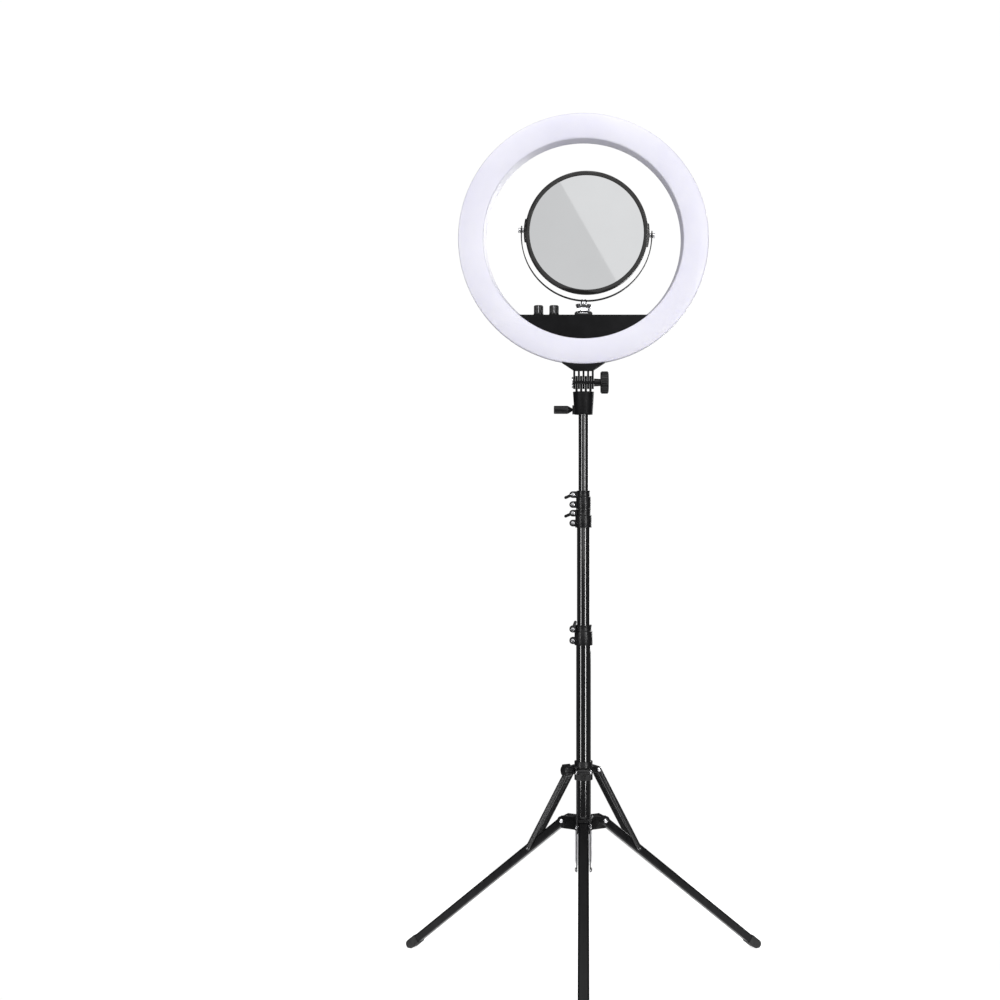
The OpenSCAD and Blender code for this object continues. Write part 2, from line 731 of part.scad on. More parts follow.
tilt_knob_x = fork_w / 2 + clear + 0.2;
tilt_ribs = 30;
module tilt_knob() {
    face = tilt_knob_x + knob_neck;
    color([0.07, 0.07, 0.08]) at_column() translate([0, 0, tilt_z]) difference() {
        union() {
            x_rod(7.6, tilt_knob_x, face + 1);
            x_rod(tilt_knob_d / 2 - 1, face, face + tilt_knob_l);
            for (k = [0:tilt_ribs - 1]) rotate([k * 360 / tilt_ribs, 0, 0])
                translate([face + 1, -1, tilt_knob_d / 2 - 2]) cube([tilt_knob_l - 2, 2, 2]);
        }
        x_rod(bolt_r + running, tilt_knob_x - overcut, face + tilt_knob_l - 2);
        x_rod(tilt_knob_d / 2 - 5, face + tilt_knob_l - 1.2, face + tilt_knob_l + overcut);
    }
}

module socket_screw() {
    tip = -spigot_d / 2 - 0.4;
    neck = boss_x - 1.2;
    color([0.08, 0.08, 0.09]) at_column() translate([0, 0, lock_screw_z]) {
        x_rod(lock_screw_r, neck - 1, tip);
        translate([neck - 6.5, 0, 0]) rotate([0, 90, 0]) cylinder(r1 = 7.2, r2 = 3.4, h = 6.5);
        x_rod(7.3, neck - 34, neck - 6.5);
        for (k = [0:17]) rotate([k * 20, 0, 0]) translate([neck - 33, -0.7, 6.7]) cube([25, 1.4, 1]);
    }
}

// ---- Column ----

module tube(d, z, l) {
    color([0.05, 0.05, 0.06]) at_column() translate([0, 0, z]) ring_tube(d / 2, d / 2 - tube_wall, l);
}
module base_tube() { tube(base_tube_d, base_tube_z, base_tube_l); }
module third_tube() { tube(third_tube_d, third_tube_z, third_tube_l); }
module second_tube() { tube(second_tube_d, second_tube_z, second_tube_l); }
module top_tube() { tube(top_tube_d, top_tube_z, top_tube_l); }

module spigot() {
    r = spigot_d / 2;
    top = top_tube_z + top_tube_l;
    color([0.72, 0.73, 0.75]) at_column() difference() {
        union() {
            translate([0, 0, top]) cylinder(r = r, h = spigot_h - 1);
            translate([0, 0, top + spigot_h - 1]) cylinder(r1 = r, r2 = r - 1, h = 1);
            translate([0, 0, top - spigot_plug]) cylinder(r = top_tube_d / 2 - tube_wall, h = spigot_plug);
        }
        translate([0, 0, top + 6]) ring_tube(r + overcut, r - 1, 8);
    }
}

cap_round = 10;
module tube_cap() {
    r = base_tube_d / 2 + cap_wall;
    h = hub_z - cap_z;
    color([0.88, 0.88, 0.9]) at_column() translate([0, 0, cap_z]) difference() {
        union() {
            translate([0, 0, cap_round]) cylinder(r = r, h = h - cap_round);
            cylinder(r = r - cap_round, h = cap_round + overcut);
            rotate_extrude() translate([r - cap_round, cap_round]) intersection() {
                circle(r = cap_round);
                translate([0, -cap_round]) square(cap_round);
            }
        }
        translate([0, 0, base_tube_z - cap_z]) cylinder(r = base_tube_d / 2, h = h);
    }
}

// A split clamp that sits on tube d_low and grips tube d_up through a liner
ear_x = -20.5;
ear_r = 6.4;
ear_t = 5;
slit = 2;
bolt_d = 4;
upper_ear = 7.6;                                 // drop of the lever's ear below the top
lower_ear = 8.5;                                 // height of the bolt's ear above the foot

sleeve_wall = 3.2;
ring_wall = 1.9;

module clamp_body(z, h, d_low, d_up) {
    top_in = grip_r(d_up);
    r_sleeve = d_low / 2 + sleeve_wall;
    r_ring = top_in + ring_wall;
    color([0.06, 0.06, 0.07]) at_column() translate([0, 0, z]) difference() {
        union() {
            cylinder(r = r_sleeve, h = h - 12);
            translate([0, 0, h - 12]) cylinder(r1 = r_sleeve, r2 = r_ring, h = 1.5);
            cylinder(r = r_ring, h = h);
            translate([0, 0, h - 1.5]) cylinder(r = r_ring + 0.7, h = 1.5);
            for (ez = [h - upper_ear, lower_ear]) translate([ear_x, 0, ez]) {
                y_rod(ear_r, -ear_t - slit / 2, ear_t + slit / 2);
                translate([0, -ear_t - slit / 2, -ear_r]) cube([-ear_x, 2 * ear_t + slit, 2 * ear_r]);
            }
        }
        translate([0, 0, -overcut]) cylinder(r = d_low / 2, h = h - grip_h + overcut);
        translate([0, 0, -overcut]) cylinder(r = top_in, h = h + 2 * overcut);
        translate([ear_x - ear_r - overcut, -slit / 2, -overcut])
            cube([ear_r - ear_x + overcut, slit, h + 2 * overcut]);
        for (ez = [h - upper_ear, lower_ear]) translate([ear_x, 0, ez])
            y_rod(bolt_d / 2, -ear_t - slit, ear_t + slit);
    }
}

liner_t = 0.8;
function grip_r(d_up) = d_up / 2 + running + liner_t;

module liner(z, h, d_up) {
    color([0.3, 0.3, 0.32]) at_column() translate([0, 0, z + h - grip_h + 0.5]) difference() {
        ring_tube(grip_r(d_up), d_up / 2 + running, grip_h - 1);
        translate([-d_up, -slit / 2, -overcut]) cube([d_up, slit, grip_h + overcut]);
    }
}

// Cross bolts of a clamp: a long one under the lever and a short one in the lower ear
lever_t = 4;
module clamp_bolts(z, h) {
    front = -ear_t - slit / 2;
    color("silver") at_column() {
        translate([ear_x, 0, z + h - upper_ear]) {
            y_rod(bolt_d / 2, front - clear - lever_t - clear, -front + 1);
            y_rod(3.6, front - 2 * clear - lever_t - 1.6, front - 2 * clear - lever_t);
            y_rod(3.6, -front, -front + 2.4);
        }
        translate([ear_x, 0, z + lower_ear]) {
            y_rod(bolt_d / 2, front - 1, -front + 1);
            y_rod(3.6, front - 1.8, front);
            y_rod(3.6, -front, -front + 2.4);
        }
    }
}

// Lever on the clamp's long bolt, turned by angle from straight out
lever_l = 14.5;
lever_w = 5.6;
module clamp_lever(z, h, angle) {
    front = -ear_t - slit / 2 - clear;
    color([0.05, 0.05, 0.06]) at_column() translate([ear_x, front, z + h - upper_ear]) rotate([0, angle, 0])
        difference() {
            union() {
                y_rod(ear_r - 0.9, -lever_t, 0);
                translate([-lever_l, -lever_t, -lever_w / 2]) cube([lever_l, lever_t, lever_w]);
                translate([-lever_l, 0, 0]) y_rod(lever_w / 2, -lever_t, 0);
            }
            y_rod(bolt_d / 2 + running, -lever_t - overcut, overcut);
        }
}

closed_angle = -23;
open_angle = 110;

module second_clamp() { clamp_body(second_clamp_z, clamp_h, second_tube_d, top_tube_d); }
module second_liner() { liner(second_clamp_z, clamp_h, top_tube_d); }
module second_bolts() { clamp_bolts(second_clamp_z, clamp_h); }
module second_lever() { clamp_lever(second_clamp_z, clamp_h, closed_angle); }

module third_clamp() { clamp_body(third_clamp_z, clamp_h, third_tube_d, second_tube_d); }
module third_liner() { liner(third_clamp_z, clamp_h, second_tube_d); }
module third_bolts() { clamp_bolts(third_clamp_z, clamp_h); }
module third_lever() { clamp_lever(third_clamp_z, clamp_h, closed_angle); }

module base_clamp() { clamp_body(base_clamp_z, base_clamp_h, base_tube_d, third_tube_d); }
module base_liner() { liner(base_clamp_z, base_clamp_h, third_tube_d); }
module base_bolts() { clamp_bolts(base_clamp_z, base_clamp_h); }
module base_lever() { clamp_lever(base_clamp_z, base_clamp_h, open_angle); }

// ---- Tripod ----

module leg_hub() {
    bore = base_tube_d / 2;
    block_end = hub_pivot_r - leg_t / 2 - 2;
    color([0.06, 0.06, 0.07]) difference() {
        union() {
            at_column() translate([0, 0, hub_z]) cylinder(r = bore + hub_wall, h = hub_h);
            for (az = [front_az, right_az, left_az]) at_leg(az) {
                translate([0, -cheek_in - cheek_t, hub_z]) cube([block_end, 2 * (cheek_in + cheek_t), hub_h - 3]);
                for (s = [-1, 1]) translate([0, s * (cheek_in + cheek_t / 2) - cheek_t / 2, hub_z]) {
                    cube([hub_pivot_r, cheek_t, hub_h - 3]);
                    translate([hub_pivot_r, 0, hub_pivot_z - hub_z]) y_rod(8.5, 0, cheek_t);
                }
            }
        }
        at_column() translate([0, 0, hub_z - overcut]) cylinder(r = bore, h = hub_h + 2 * overcut);
        for (az = [front_az, right_az, left_az]) at_leg(az)
            translate([hub_pivot_r, 0, hub_pivot_z]) y_rod(rivet_d / 2, -foot_w, foot_w);
    }
}

// A rivet across the arm, with a domed head at each end
module rivet(half) {
    y_rod(rivet_d / 2, -half, half);
    for (s = [-1, 1]) translate([0, s * half, 0]) rotate([-90 * s, 0, 0]) {
        cylinder(d = head_d, h = head_t / 2);
        translate([0, 0, head_t / 2]) cylinder(d1 = head_d, d2 = head_d - 3, h = head_t / 2);
    }
}

module hub_pins() {
    color("silver") for (az = [front_az, right_az, left_az])
        at_leg(az) translate([hub_pivot_r, 0, hub_pivot_z]) rivet(cheek_in + cheek_t);
}

module brace_collar() {
    bore = base_tube_d / 2 + running;
    color([0.06, 0.06, 0.07]) difference() {
        union() {
            at_column() translate([0, 0, collar_z]) cylinder(r = base_tube_d / 2 + collar_wall, h = collar_h);
            for (az = [front_az, right_az, left_az]) at_leg(az) {
                translate([0, -lug_w / 2, collar_pivot_z - lug_r]) cube([collar_pivot_r, lug_w, 2 * lug_r]);
                translate([collar_pivot_r, 0, collar_pivot_z]) y_rod(lug_r, -lug_w / 2, lug_w / 2);
            }
            at_leg(collar_knob_az) translate([0, 0, collar_knob_z]) x_rod(8, 0, base_tube_d / 2 + 9);
        }
        at_column() translate([0, 0, collar_z - overcut]) cylinder(r = bore, h = collar_h + 2 * overcut);
        for (az = [front_az, right_az, left_az]) at_leg(az)
            translate([collar_pivot_r, 0, collar_pivot_z]) y_rod(rivet_d / 2, -foot_w, foot_w);
        at_leg(collar_knob_az) translate([0, 0, collar_knob_z])
            x_rod(collar_screw_d / 2 + running, 0, base_tube_d);
    }
}

module collar_pins() {
    color("silver") for (az = [front_az, right_az, left_az])
        at_leg(az) translate([collar_pivot_r, 0, collar_pivot_z]) rivet(strip_in + strip_t + clear);
}

collar_lobes = 5;
module collar_knob() {
    base = base_tube_d / 2;
    color([0.07, 0.07, 0.08]) at_leg(collar_knob_az) translate([0, 0, collar_knob_z]) {
        x_rod(collar_screw_d / 2, base + 0.4, base + 12);
        x_rod(6, base + 9.5, base + 14);
        x_rod(collar_knob_d / 2 - 3, base + 12.5, base + 31);
        for (k = [0:collar_lobes - 1]) rotate([20 + k * 360 / collar_lobes, 0, 0])
            translate([0, 0, collar_knob_d / 2 - 4]) x_rod(4, base + 14.5, base + 29.5);
    }
}

// Rounded rectangle across a leg or a foot, extruded along x from x0 to x1
module leg_bar(w, t, r, x0, x1) {
    translate([x0, 0, 0]) rotate([90, 0, 90]) linear_extrude(x1 - x0) union() {
        square([w - 2 * r, t], center = true);
        square([w, t - 2 * r], center = true);
        for (sx = [-1, 1], sy = [-1, 1]) translate([sx * (w / 2 - r), sy * (t / 2 - r)]) circle(r = r);
    }
}

leg_round = 3.5;
module leg(az) {
    color([0.05, 0.05, 0.06]) along_leg(az) difference() {
        union() {
            leg_bar(leg_w, leg_t, leg_round, 0, leg_l - 2);
            intersection() {
                y_rod(leg_t / 2, -leg_w / 2, leg_w / 2);
                leg_bar(leg_w, leg_t, leg_round, -leg_t, 1);
            }
        }
        leg_bar(leg_w - 2 * leg_wall, leg_t - 2 * leg_wall, leg_round - leg_wall, 14, leg_l - 1);
        y_rod(rivet_d / 2 + running, -leg_w, leg_w);
        translate([brace_at, 0, 0]) y_rod(rivet_d / 2 + clear, -leg_w, leg_w);
    }
}
module front_leg() { leg(front_az); }
module right_leg() { leg(right_az); }
module left_leg() { leg(left_az); }

// Twin strips with their lower rivet halves; the leg keeps its own hole between them
module brace(az) {
    r = strip_w / 2;
    color([0.05, 0.05, 0.06]) along_brace(az) for (s = [-1, 1]) {
        mid = s * (strip_in + strip_t / 2);
        difference() {
            union() {
                translate([0, mid - strip_t / 2, -r]) cube([brace_l, strip_t, strip_w]);
                for (x = [0, brace_l]) translate([x, mid, 0]) y_rod(r, -strip_t / 2, strip_t / 2);
                translate([brace_l, mid, 0]) rotate([-90 * s, 0, 0]) translate([0, 0, strip_t / 2]) {
                    cylinder(d = head_d, h = head_t / 2);
                    translate([0, 0, head_t / 2]) cylinder(d1 = head_d, d2 = head_d - 3, h = head_t / 2);
                }
            }
            translate([0, mid, 0]) y_rod(rivet_d / 2 + running, -strip_t, strip_t);
        }
    }
}
module front_brace() { brace(front_az); }
module right_brace() { brace(right_az); }
module left_brace() { brace(left_az); }

module foot(az) {
    color([0.04, 0.04, 0.04]) difference() {
        along_leg(az) difference() {
            union() {
                translate([leg_l - foot_l + foot_r, -foot_w / 2, -foot_r]) cube([foot_l - foot_r, foot_w, 2 * foot_r]);
                translate([leg_l, 0, 0]) y_rod(foot_r, -foot_w / 2, foot_w / 2);
            }
            leg_bar(leg_w, leg_t, leg_round, leg_l - foot_l, leg_l - 2);
        }
        translate([-2 * leg_l, -2 * leg_l, -leg_l]) cube([4 * leg_l, 4 * leg_l, leg_l]);
    }
}
module front_foot() { foot(front_az); }
module right_foot() { foot(right_az); }
module left_foot() { foot(left_az); }

diffuser();
rear_housing();
heat_spreader();
led_board();
leds();
head_screws();
control_box();
box_cover();
driver_board();
potentiometers();
dimmer_knob();
colour_knob();
switch_bezel();
switch_rocker();
dc_inlet();
cold_shoe();
mount_bracket();
tilt_socket();
tilt_bolt();
tilt_knob();
socket_screw();
mirror_frame();
mirror_glass();
magnifier_glass();
mirror_bail();
pivot_screws();
shoe_foot();
lock_disc();
spigot();
top_tube();
second_tube();
second_clamp();
second_liner();
second_bolts();
second_lever();
third_tube();
third_clamp();
third_liner();
third_bolts();
third_lever();
base_tube();
base_clamp();
base_liner();
base_bolts();
base_lever();
tube_cap();
leg_hub();
hub_pins();
brace_collar();
collar_pins();
collar_knob();
front_leg();
right_leg();
left_leg();
front_brace();
right_brace();
left_brace();
front_foot();
right_foot();
left_foot();
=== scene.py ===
import json
import math

import bmesh
import bpy
from mathutils import Matrix, Vector

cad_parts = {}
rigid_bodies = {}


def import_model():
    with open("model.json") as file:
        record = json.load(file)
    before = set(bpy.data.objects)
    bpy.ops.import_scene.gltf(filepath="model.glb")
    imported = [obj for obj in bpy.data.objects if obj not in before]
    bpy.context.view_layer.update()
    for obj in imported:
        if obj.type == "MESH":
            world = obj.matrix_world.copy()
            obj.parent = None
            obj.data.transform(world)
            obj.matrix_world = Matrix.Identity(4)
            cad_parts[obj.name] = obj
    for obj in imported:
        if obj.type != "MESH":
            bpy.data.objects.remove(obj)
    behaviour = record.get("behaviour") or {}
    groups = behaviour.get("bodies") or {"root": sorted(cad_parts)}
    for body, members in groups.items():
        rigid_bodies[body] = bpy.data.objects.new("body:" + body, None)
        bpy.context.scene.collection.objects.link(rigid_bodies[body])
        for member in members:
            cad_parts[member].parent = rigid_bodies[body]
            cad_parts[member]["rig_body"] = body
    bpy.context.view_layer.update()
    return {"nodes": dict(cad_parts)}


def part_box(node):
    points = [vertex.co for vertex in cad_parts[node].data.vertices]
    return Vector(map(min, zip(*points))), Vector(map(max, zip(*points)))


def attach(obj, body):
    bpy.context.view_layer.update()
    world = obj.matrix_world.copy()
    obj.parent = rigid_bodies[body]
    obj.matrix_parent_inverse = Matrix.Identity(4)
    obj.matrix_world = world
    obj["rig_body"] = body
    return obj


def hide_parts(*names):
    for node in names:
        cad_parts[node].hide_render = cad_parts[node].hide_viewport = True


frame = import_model()

nodes = frame["nodes"]
mm = 0.001


def linked(name, data):
    piece = bpy.data.objects.new(name, data)
    bpy.context.scene.collection.objects.link(piece)
    return piece


def midOf(node):
    low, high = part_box(node)
    return (low + high) / 2


columnY = midOf("base_tube").y
ringCentre = midOf("diffuser")
legTurns = {"front": -90, "right": 30, "left": 150}


# Camera, level and straight ahead, shifted so that the stand sits right of the middle

view = {"lens": 51.48, "sensor": 36, "shift": -0.0835, "distance": 2.724, "height": 0.914}
camera = linked("camera", bpy.data.cameras.new("camera"))
camera.data.lens = view["lens"]
camera.data.sensor_width = view["sensor"]
camera.data.shift_x = view["shift"]
camera.location = (0, columnY - view["distance"], view["height"])
camera.rotation_euler = (math.radians(90), 0, 0)
bpy.context.scene.camera = camera


# Materials

noiseLow, noiseHigh = 0.3, 0.7


def wire(tree, outSocket, inSocket):
    tree.links.new(outSocket, inSocket)


def objectSpace(tree, stretch=(1, 1, 1), turn=(0, 0, 0)):
    place = tree.nodes.new("ShaderNodeTexCoord")
    mapping = tree.nodes.new("ShaderNodeMapping")
    mapping.inputs["Scale"].default_value = stretch
    mapping.inputs["Rotation"].default_value = turn
    wire(tree, place.outputs["Object"], mapping.inputs["Vector"])
    return mapping.outputs["Vector"]


def noiseOver(tree, vector, scale, detail=3.0, roughness=0.5):
    noise = tree.nodes.new("ShaderNodeTexNoise")
    noise.inputs["Scale"].default_value = scale
    noise.inputs["Detail"].default_value = detail
    noise.inputs["Roughness"].default_value = roughness
    wire(tree, vector, noise.inputs["Vector"])
    return noise.outputs["Fac"]


def tintBetween(tree, factor, dark, light):
    ramp = tree.nodes.new("ShaderNodeValToRGB")
    ramp.color_ramp.elements[0].position = noiseLow
    ramp.color_ramp.elements[0].color = (*dark, 1)
    ramp.color_ramp.elements[1].position = noiseHigh
    ramp.color_ramp.elements[1].color = (*light, 1)
    wire(tree, factor, ramp.inputs["Fac"])
    return ramp.outputs["Color"]


def rangeBetween(tree, factor, low, high):
    spread = tree.nodes.new("ShaderNodeMapRange")
    spread.inputs["From Min"].default_value = noiseLow
    spread.inputs["From Max"].default_value = noiseHigh
    spread.inputs["To Min"].default_value = low
    spread.inputs["To Max"].default_value = high
    wire(tree, factor, spread.inputs["Value"])
    return spread.outputs["Result"]


def bumpFrom(tree, height, strength, distance):
    bump = tree.nodes.new("ShaderNodeBump")
    bump.inputs["Strength"].default_value = strength
    bump.inputs["Distance"].default_value = distance
    wire(tree, height, bump.inputs["Height"])
    return bump.outputs["Normal"]


def surface(name, dark, light, rough, tintScale=60, grainScale=1800, grainDepth=0.03,
            grainStrength=0.25, metallic=0.0, stretch=(1, 1, 1), turn=(0, 0, 0), **sockets):
    material = bpy.data.materials.new(name)
    material.use_nodes = True
    tree = material.node_tree
    shader = tree.nodes["Principled BSDF"]
    shader.inputs["Metallic"].default_value = metallic
    for socket, value in sockets.items():
        shader.inputs[socket.replace("_", " ")].default_value = value
    vector = objectSpace(tree, stretch, turn)
    cloud = noiseOver(tree, vector, tintScale)
    wire(tree, tintBetween(tree, cloud, dark, light), shader.inputs["Base Color"])
    wear = noiseOver(tree, vector, tintScale * 2.7, 4.0, 0.6)
    wire(tree, rangeBetween(tree, wear, *rough), shader.inputs["Roughness"])
    grain = noiseOver(tree, vector, grainScale, 2.0)
    wire(tree, bumpFrom(tree, grain, grainStrength, grainDepth * mm), shader.inputs["Normal"])
    return material


def legEnamel(turn):
    return surface("leg enamel " + str(turn), (0.002, 0.002, 0.0025), (0.006, 0.006, 0.007), (0.26, 0.38),
                   tintScale=90, grainScale=900, grainDepth=0.04, stretch=(1, 0.05, 0.05),
                   turn=(0, 0, math.radians(90 - turn)), Specular_IOR_Level=0.2)


milky = surface("milky diffuser", (0.80, 0.79, 0.93), (0.87, 0.86, 0.985), (0.3, 0.42), tintScale=9,
                grainScale=2600, grainDepth=0.012, grainStrength=0.2, Subsurface_Weight=0.25,
                Subsurface_Radius=(0.004, 0.004, 0.005), Subsurface_Scale=1.0)
shellBlack = surface("textured black moulding", (0.003, 0.003, 0.0035), (0.007, 0.007, 0.008), (0.42, 0.58),
                     tintScale=35, grainScale=1500, grainDepth=0.05, grainStrength=0.3, Specular_IOR_Level=0.16)
knobBlack = surface("knob black", (0.004, 0.004, 0.0045), (0.010, 0.010, 0.011), (0.28, 0.42),
                    tintScale=120, grainScale=2400, grainDepth=0.02, Specular_IOR_Level=0.35)
tubeBlack = surface("gloss black tube", (0.003, 0.003, 0.0035), (0.007, 0.007, 0.008), (0.10, 0.16), tintScale=40,
                    grainScale=700, grainDepth=0.004, grainStrength=0.15, stretch=(1, 1, 0.02), Coat_Weight=1.0,
                    Coat_Roughness=0.05, Specular_IOR_Level=0.8)
clampNylon = surface("clamp nylon", (0.004, 0.004, 0.0045), (0.011, 0.011, 0.012), (0.24, 0.40),
                     tintScale=110, grainScale=1300, grainDepth=0.04, Specular_IOR_Level=0.4)
frameBlack = surface("mirror frame lacquer", (0.005, 0.0045, 0.0045), (0.011, 0.010, 0.010), (0.16, 0.26),
                     tintScale=50, grainScale=900, grainDepth=0.01, Coat_Weight=0.4, Coat_Roughness=0.08)
strapBlack = surface("satin black strap", (0.004, 0.004, 0.0045), (0.010, 0.010, 0.011), (0.30, 0.44),
                     tintScale=140, grainScale=1700, grainDepth=0.03)
rivetSteel = surface("bright rivet", (0.62, 0.62, 0.64), (0.88, 0.88, 0.90), (0.14, 0.30), metallic=1.0,
                     tintScale=500, grainScale=2800, grainDepth=0.015)
shoeChrome = surface("shoe chrome", (0.58, 0.58, 0.60), (0.86, 0.86, 0.88), (0.08, 0.20), metallic=1.0,
                     tintScale=300, grainScale=3000, grainDepth=0.01)
footRubber = surface("foot rubber", (0.008, 0.008, 0.008), (0.022, 0.022, 0.022), (0.66, 0.86),
                     tintScale=160, grainScale=1100, grainDepth=0.12, grainStrength=0.5)
capNatural = surface("natural cap", (0.55, 0.55, 0.57), (0.72, 0.72, 0.74), (0.30, 0.44), tintScale=70,
                     grainScale=1500, grainDepth=0.03, Subsurface_Weight=0.2,
                     Subsurface_Radius=(0.003, 0.003, 0.003), Subsurface_Scale=1.0)
silvered = surface("silvered glass", (0.79, 0.80, 0.81), (0.83, 0.84, 0.85), (0.012, 0.03), metallic=1.0,
                   tintScale=6, grainScale=20, grainDepth=0.001, grainStrength=0.05)
millAluminium = surface("mill aluminium", (0.55, 0.56, 0.58), (0.74, 0.75, 0.77), (0.28, 0.42), metallic=1.0,
                        tintScale=90, grainScale=900, grainDepth=0.02, stretch=(1, 1, 8))
boardWhite = surface("white board", (0.72, 0.72, 0.68), (0.84, 0.84, 0.80), (0.35, 0.5), tintScale=200)
phosphor = surface("phosphor", (0.78, 0.60, 0.14), (0.90, 0.76, 0.30), (0.3, 0.5), tintScale=900)
boardGreen = surface("green board", (0.02, 0.11, 0.05), (0.04, 0.19, 0.08), (0.28, 0.42), tintScale=260)
stampedSteel = surface("stamped steel", (0.42, 0.43, 0.45), (0.60, 0.61, 0.63), (0.25, 0.45), metallic=1.0,
                       tintScale=320)
rockerRed = surface("rocker red", (0.34, 0.012, 0.010), (0.48, 0.022, 0.018), (0.14, 0.24), tintScale=150,
                    grainScale=1500, grainDepth=0.01, Coat_Weight=0.3)
screwBlack = surface("black oxide screw", (0.018, 0.018, 0.020), (0.050, 0.050, 0.053), (0.26, 0.44),
                     metallic=0.8, tintScale=900)
acetal = surface("acetal liner", (0.09, 0.09, 0.10), (0.16, 0.16, 0.17), (0.35, 0.55), tintScale=200)
turnedMetal = surface("turned spigot", (0.50, 0.51, 0.53), (0.70, 0.71, 0.73), (0.18, 0.32), metallic=1.0,
                      tintScale=160, grainScale=700, grainDepth=0.02, stretch=(1, 1, 12))

print("materials ready:", len(bpy.data.materials))


# Making and placing meshes


def addPiece(name, mesh, material, body, standsFor=(), place=None):
    if place:
        mesh.transform(place)
    piece = linked(name, mesh)
    mesh.materials.clear()
    mesh.materials.append(material)
    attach(piece, body)
    if standsFor:
        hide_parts(*standsFor)
    return piece


def shaded(mesh, sharp=35):
    mesh.shade_smooth()
    mesh.set_sharp_from_angle(angle=math.radians(sharp))
    return mesh


weld = {"coarse": 0.000003, "fine": 0.0000005, "sliver": 0.0000002}


def cleaned(mesh):
    work = bmesh.new()
    work.from_mesh(mesh)
    bmesh.ops.remove_doubles(work, verts=work.verts, dist=weld["coarse"])
    bmesh.ops.recalc_face_normals(work, faces=work.faces)
    work.to_mesh(mesh)
    work.free()
    return mesh


def softCorner(start, corner, end, steps):
    places = [step / steps for step in range(steps + 1)]
    curve = [start * (1 - t) ** 2 + corner * (2 * t * (1 - t)) + end * t ** 2 for t in places]
    return [(point.x, point.y) for point in curve]


def rounded(profile, radius, steps=4):
    most = 0.45   # share of an edge that one corner may take
    soft = []
    for index, (x, y) in enumerate(profile):
        corner = Vector((x, y))
        before = Vector(profile[index - 1]) - corner
        after = Vector(profile[(index + 1) % len(profile)]) - corner
        if x == 0 or before.length == 0 or after.length == 0:
            soft.append((x, y))
            continue
        start = corner + before.normalized() * min(radius, before.length * most)
        end = corner + after.normalized() * min(radius, after.length * most)
        soft += softCorner(start, corner, end, steps)
    return soft


def turned(name, profile, segments=96, radius=0.0):
    outline = rounded(profile, radius) if radius else profile
    points, faces = [], []
    for step in range(segments):
        angle = 2 * math.pi * step / segments
        for r, z in outline:
            points.append((r * mm * math.cos(angle), r * mm * math.sin(angle), z * mm))
    count = len(outline)
    for step in range(segments):
        for index in range(count):
            after = (index + 1) % count
            if outline[index][0] == 0 and outline[after][0] == 0:
                continue
            base, following = step * count, ((step + 1) % segments) * count
            faces.append((base + index, base + after, following + after, following + index))
    mesh = bpy.data.meshes.new(name)
    mesh.from_pydata(points, [], faces)
    work = bmesh.new()
    work.from_mesh(mesh)
    bmesh.ops.remove_doubles(work, verts=work.verts, dist=weld["fine"])
    bmesh.ops.dissolve_degenerate(work, dist=weld["sliver"], edges=work.edges)
    bmesh.ops.recalc_face_normals(work, faces=work.faces)
    work.to_mesh(mesh)
    work.free()
    return shaded(mesh, 40)


def baked(holder):
    view = bpy.context.evaluated_depsgraph_get()
    mesh = bpy.data.meshes.new_from_object(holder.evaluated_get(view))
    bpy.data.objects.remove(holder)
    return mesh


wornEdge = {"segments": 2, "above": 30, "flat": 0.5, "sharp": 32}


def softened(node, width, material):
    mesh = nodes[node].data.copy()
    mesh.materials.clear()
    work = bmesh.new()
    work.from_mesh(mesh)
    bmesh.ops.remove_doubles(work, verts=work.verts, dist=weld["coarse"])
    bmesh.ops.dissolve_limit(work, angle_limit=math.radians(wornEdge["flat"]), verts=work.verts, edges=work.edges)
    work.to_mesh(mesh)
    work.free()
    holder = linked(node, mesh)
    bevel = holder.modifiers.new("worn edges", "BEVEL")
    bevel.width = width * mm
    bevel.segments = wornEdge["segments"]
    bevel.limit_method = "ANGLE"
    bevel.angle_limit = math.radians(wornEdge["above"])
    bevel.harden_normals = False
    words = node.split("_")
    name = words[0] + "".join(word.capitalize() for word in words[1:])
    return addPiece(name, shaded(baked(holder), wornEdge["sharp"]), material, nodes[node]["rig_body"], (node,))


# Node trees

def newTree(name, inputs):
    tree = bpy.data.node_groups.new(name, "GeometryNodeTree")
    tree.interface.new_socket(name="Geometry", in_out="INPUT", socket_type="NodeSocketGeometry")
    for label, kind in inputs:
        tree.interface.new_socket(name=label, in_out="INPUT", socket_type="NodeSocket" + kind)
    tree.interface.new_socket(name="Geometry", in_out="OUTPUT", socket_type="NodeSocketGeometry")
    return tree, tree.nodes.new("NodeGroupInput"), tree.nodes.new("NodeGroupOutput")


def grown(name, mesh, tree, values):
    holder = linked(name, mesh)
    modifier = holder.modifiers.new("grow", "NODES")
    modifier.node_group = tree
    for socket in tree.interface.items_tree:
        if socket.in_out == "INPUT" and socket.name in values:
            modifier[socket.identifier] = values[socket.name]
    return baked(holder)


def endTree(tree, given, result, geometry):
    smooth = tree.nodes.new("GeometryNodeSetShadeSmooth")
    smooth.inputs["Shade Smooth"].default_value = True
    realize = tree.nodes.new("GeometryNodeRealizeInstances")
    finish = tree.nodes.new("GeometryNodeSetMaterial")
    wire(tree, geometry, smooth.inputs["Geometry"])
    wire(tree, smooth.outputs["Geometry"], realize.inputs["Geometry"])
    wire(tree, realize.outputs["Geometry"], finish.inputs["Geometry"])
    wire(tree, given.outputs["Finish"], finish.inputs["Material"])
    wire(tree, finish.outputs["Geometry"], result.inputs["Geometry"])


